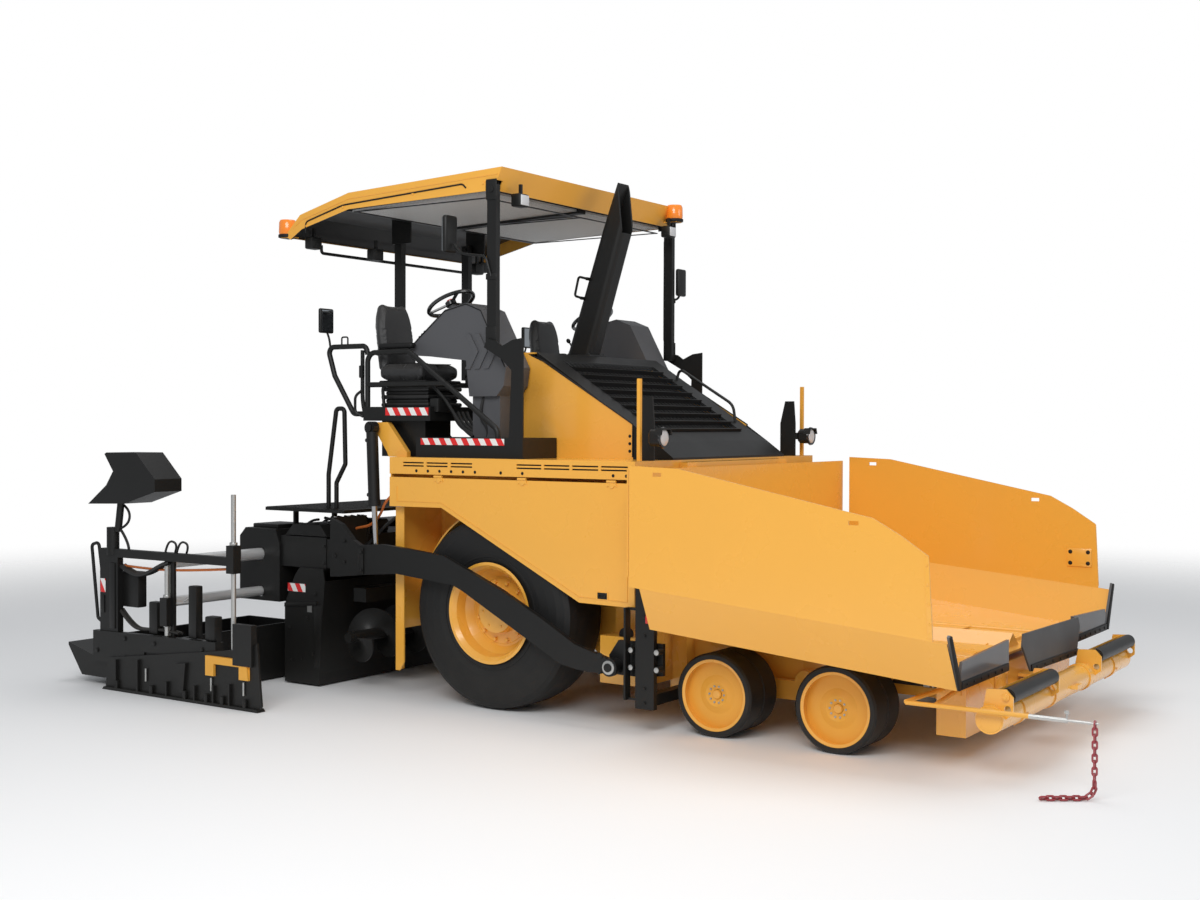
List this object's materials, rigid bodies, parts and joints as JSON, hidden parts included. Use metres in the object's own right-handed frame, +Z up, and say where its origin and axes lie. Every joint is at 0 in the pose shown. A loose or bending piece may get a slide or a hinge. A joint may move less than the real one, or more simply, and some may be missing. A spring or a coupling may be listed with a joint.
{
  "type": "wheeled asphalt paver",
  "caption": "self-propelled road paver on wheels with a folding hopper, canopy, spreading augers and an extending floating screed",
  "frame": {"origin": "on the ground under the middle of the machine's overall length and width, 0.371 m ahead of the drive axle", "axes": "+X forward to the hopper, +Y to the machine's left, +Z up"},
  "size_m": [7.42, 4.4, 3.7],
  "materials": {
    "yellow_paint": "smooth glossy construction yellow paint",
    "black_paint": "satin black paint",
    "wheel_yellow": "yellow painted disc in a black solid rubber tyre",
    "knuckle_steel": "yellow painted forging",
    "cast_block": "plain cast block standing for the engine",
    "seat_cover": "black padded vinyl and rubber bellows",
    "console_grey": "grained dark grey moulding",
    "steering_wheel": "black moulded rim",
    "rubber_flap": "grey-black flashing rubber",
    "red_chain": "red coated steel links",
    "tyre_rubber": "black tyre rubber",
    "ceiling_grey": "perforated light grey panel",
    "polished_rod": "hard chromed cylinder rod"
  },
  "bodies": {
    "root": {"main_frame": "yellow_paint", "axle_beams": "yellow_paint", "engine_block": "cast_block", "body_sides": "yellow_paint", "engine_hood": "yellow_paint", "hood_grille": "black_paint", "fume_stack": "black_paint", "marker_lamps": "black_paint", "operator_platform": "black_paint", "platform_rails": "black_paint", "seats": "seat_cover", "consoles": "console_grey", "hopper_floor": "yellow_paint", "hopper_apron": "rubber_flap", "bumper_bracket": "yellow_paint", "steering_guide": "yellow_paint", "guide_chain": "red_chain", "tow_guides": "black_paint", "auger_frame": "black_paint"},
    "canopy_front_posts": {"canopy_front_posts": "black_paint"},
    "canopy_rear_posts": {"canopy_rear_posts": "black_paint"},
    "canopy_roof": {"canopy_roof": "yellow_paint", "canopy_frame": "black_paint", "canopy_ceiling": "ceiling_grey"},
    "push_beam": {"push_beam": "yellow_paint"},
    "screed": {"screed_arms": "black_paint", "screed_main": "black_paint", "screed_walkway": "black_paint"},
    "drive_wheel_right": {"drive_tyre_right": "tyre_rubber", "drive_rim_right": "yellow_paint"},
    "knuckle_front_right": {"knuckle_front_right": "knuckle_steel"},
    "wheel_front_right": {"wheel_front_right": "wheel_yellow"},
    "knuckle_middle_right": {"knuckle_middle_right": "knuckle_steel"},
    "wheel_middle_right": {"wheel_middle_right": "wheel_yellow"},
    "side_door_right": {"side_door_right": "yellow_paint"},
    "steering_wheel_right": {"steering_wheel_right": "steering_wheel"},
    "hopper_wing_right": {"hopper_wing_right": "yellow_paint"},
    "push_roller_right": {"push_roller_right": "black_paint"},
    "tow_carriage_right": {"tow_carriage_right": "black_paint"},
    "screed_extension_right": {"screed_extension_right": "black_paint"},
    "lift_barrel_right": {"lift_barrel_right": "black_paint"},
    "lift_rod_right": {"lift_rod_right": "polished_rod"},
    "auger_right": {"auger_right": "black_paint"},
    "drive_wheel_left": {"drive_tyre_left": "tyre_rubber", "drive_rim_left": "yellow_paint"},
    "knuckle_front_left": {"knuckle_front_left": "knuckle_steel"},
    "wheel_front_left": {"wheel_front_left": "wheel_yellow"},
    "knuckle_middle_left": {"knuckle_middle_left": "knuckle_steel"},
    "wheel_middle_left": {"wheel_middle_left": "wheel_yellow"},
    "side_door_left": {"side_door_left": "yellow_paint"},
    "steering_wheel_left": {"steering_wheel_left": "steering_wheel"},
    "hopper_wing_left": {"hopper_wing_left": "yellow_paint"},
    "push_roller_left": {"push_roller_left": "black_paint"},
    "tow_carriage_left": {"tow_carriage_left": "black_paint"},
    "screed_extension_left": {"screed_extension_left": "black_paint"},
    "lift_barrel_left": {"lift_barrel_left": "black_paint"},
    "lift_rod_left": {"lift_rod_left": "polished_rod"},
    "auger_left": {"auger_left": "black_paint"}
  },
  "joints": [
    {"name": "drive_spin_right", "type": "hinge", "parent": "root", "child": "drive_wheel_right", "pos_m": [-0.371, -1.03, 0.66], "axis": [0, 1, 0], "continuous": true},
    {"name": "drive_spin_left", "type": "hinge", "parent": "root", "child": "drive_wheel_left", "pos_m": [-0.371, 1.03, 0.66], "axis": [0, 1, 0], "continuous": true},
    {"name": "steer_front_right", "type": "hinge", "parent": "root", "child": "knuckle_front_right", "pos_m": [2.125, -0.86, 0.262], "axis": [0, 0, 1], "range_deg": [-20, 20]},
    {"name": "spin_front_right", "type": "hinge", "parent": "knuckle_front_right", "child": "wheel_front_right", "pos_m": [2.125, -0.963, 0.262], "axis": [0, 1, 0], "continuous": true},
    {"name": "steer_front_left", "type": "hinge", "parent": "root", "child": "knuckle_front_left", "pos_m": [2.125, 0.86, 0.262], "axis": [0, 0, 1], "range_deg": [-20, 20]},
    {"name": "spin_front_left", "type": "hinge", "parent": "knuckle_front_left", "child": "wheel_front_left", "pos_m": [2.125, 0.963, 0.262], "axis": [0, 1, 0], "continuous": true},
    {"name": "steer_middle_right", "type": "hinge", "parent": "root", "child": "knuckle_middle_right", "pos_m": [1.307, -0.86, 0.262], "axis": [0, 0, 1], "range_deg": [-13.5, 13.5]},
    {"name": "spin_middle_right", "type": "hinge", "parent": "knuckle_middle_right", "child": "wheel_middle_right", "pos_m": [1.307, -0.963, 0.262], "axis": [0, 1, 0], "continuous": true},
    {"name": "steer_middle_left", "type": "hinge", "parent": "root", "child": "knuckle_middle_left", "pos_m": [1.307, 0.86, 0.262], "axis": [0, 0, 1], "range_deg": [-13.5, 13.5]},
    {"name": "spin_middle_left", "type": "hinge", "parent": "knuckle_middle_left", "child": "wheel_middle_left", "pos_m": [1.307, 0.963, 0.262], "axis": [0, 1, 0], "continuous": true},
    {"name": "door_right", "type": "hinge", "parent": "root", "child": "side_door_right", "pos_m": [-0.214, -1.281, 1.575], "axis": [1, 0, 0], "range_deg": [-70, 0]},
    {"name": "wing_right", "type": "hinge", "parent": "root", "child": "hopper_wing_right", "pos_m": [1.929, -0.655, 0.56], "axis": [-1, 0, 0], "range_deg": [0, 48]},
    {"name": "roller_right", "type": "hinge", "parent": "push_beam", "child": "push_roller_right", "pos_m": [3.194, -0.861, 0.47], "axis": [0, 1, 0], "continuous": true},
    {"name": "auger_spin_right", "type": "hinge", "parent": "root", "child": "auger_right", "pos_m": [-1.641, -0.7, 0.39], "axis": [0, 1, 0], "continuous": true},
    {"name": "wheel_turn_right", "type": "hinge", "parent": "root", "child": "steering_wheel_right", "pos_m": [-0.991, -0.9, 2.8], "axis": [-0.4788, 0, 0.8779], "continuous": true},
    {"name": "extend_right", "type": "slide", "parent": "screed", "child": "screed_extension_right", "axis": [0, -1, 0], "range_m": [-0.8, 0.25]},
    {"name": "door_left", "type": "hinge", "parent": "root", "child": "side_door_left", "pos_m": [-0.214, 1.281, 1.575], "axis": [-1, 0, 0], "range_deg": [-70, 0]},
    {"name": "wing_left", "type": "hinge", "parent": "root", "child": "hopper_wing_left", "pos_m": [1.929, 0.655, 0.56], "axis": [1, 0, 0], "range_deg": [0, 48]},
    {"name": "roller_left", "type": "hinge", "parent": "push_beam", "child": "push_roller_left", "pos_m": [3.194, 0.861, 0.47], "axis": [0, 1, 0], "continuous": true},
    {"name": "auger_spin_left", "type": "hinge", "parent": "root", "child": "auger_left", "pos_m": [-1.641, 0.7, 0.39], "axis": [0, 1, 0], "continuous": true},
    {"name": "wheel_turn_left", "type": "hinge", "parent": "root", "child": "steering_wheel_left", "pos_m": [-0.991, 0.9, 2.8], "axis": [-0.4788, 0, 0.8779], "continuous": true},
    {"name": "extend_left", "type": "slide", "parent": "screed", "child": "screed_extension_left", "axis": [0, 1, 0], "range_m": [-0.8, 0.25]},
    {"name": "push_beam_swing", "type": "hinge", "parent": "root", "child": "push_beam", "pos_m": [2.929, 0, 0.345], "axis": [0, 0, 1], "range_deg": [-5, 5]},
    {"name": "tow_point_right", "type": "slide", "parent": "root", "child": "tow_carriage_right", "axis": [0, 0, 1], "range_m": [0, 0.2]},
    {"name": "tow_point_left", "type": "slide", "parent": "root", "child": "tow_carriage_left", "axis": [0, 0, 1], "range_m": [0, 0.2]},
    {"name": "screed_lift", "type": "hinge", "parent": "tow_carriage_right", "child": "screed", "pos_m": [0.674, 0, 0.405], "axis": [0, 1, 0], "range_deg": [0, 7.5]},
    {"name": "lift_swing_right", "type": "hinge", "parent": "root", "child": "lift_barrel_right", "pos_m": [-1.431, -1.25, 1.91], "axis": [0, -1, 0], "range_deg": [0, 9]},
    {"name": "lift_stroke_right", "type": "slide", "parent": "lift_barrel_right", "child": "lift_rod_right", "axis": [-0.0432, 0, 0.9991], "range_m": [0, 0.26]},
    {"name": "lift_swing_left", "type": "hinge", "parent": "root", "child": "lift_barrel_left", "pos_m": [-1.431, 1.25, 1.91], "axis": [0, -1, 0], "range_deg": [0, 9]},
    {"name": "lift_stroke_left", "type": "slide", "parent": "lift_barrel_left", "child": "lift_rod_left", "axis": [-0.0432, 0, 0.9991], "range_m": [0, 0.26]},
    {"name": "canopy_fold", "type": "hinge", "parent": "root", "child": "canopy_front_posts", "pos_m": [-0.411, 0, 2.49], "axis": [0, -1, 0], "range_deg": [0, 50]},
    {"name": "canopy_level", "type": "hinge", "parent": "canopy_front_posts", "child": "canopy_roof", "pos_m": [-0.411, 0, 3.53], "axis": [0, -1, 0], "range_deg": [-50, 0]},
    {"name": "canopy_rear_fold", "type": "hinge", "parent": "root", "child": "canopy_rear_posts", "pos_m": [-1.909, 0, 2.33], "axis": [0, -1, 0], "range_deg": [0, 50]}
  ],
  "couplings": [
    {"joint": "steer_front_left", "follows": "steer_front_right", "ratio": 1},
    {"joint": "steer_middle_right", "follows": "steer_front_right", "ratio": 0.67},
    {"joint": "steer_middle_left", "follows": "steer_front_right", "ratio": 0.67},
    {"joint": "tow_point_left", "follows": "tow_point_right", "ratio": 1},
    {"joint": "lift_swing_right", "follows": "screed_lift", "ratio": 1.19},
    {"joint": "lift_stroke_right", "follows": "screed_lift", "m_per_rad": 1.927},
    {"joint": "lift_swing_left", "follows": "screed_lift", "ratio": 1.19},
    {"joint": "lift_stroke_left", "follows": "screed_lift", "m_per_rad": 1.927},
    {"joint": "canopy_level", "follows": "canopy_fold", "ratio": -1},
    {"joint": "canopy_rear_fold", "follows": "canopy_fold", "ratio": 1}
  ]
}
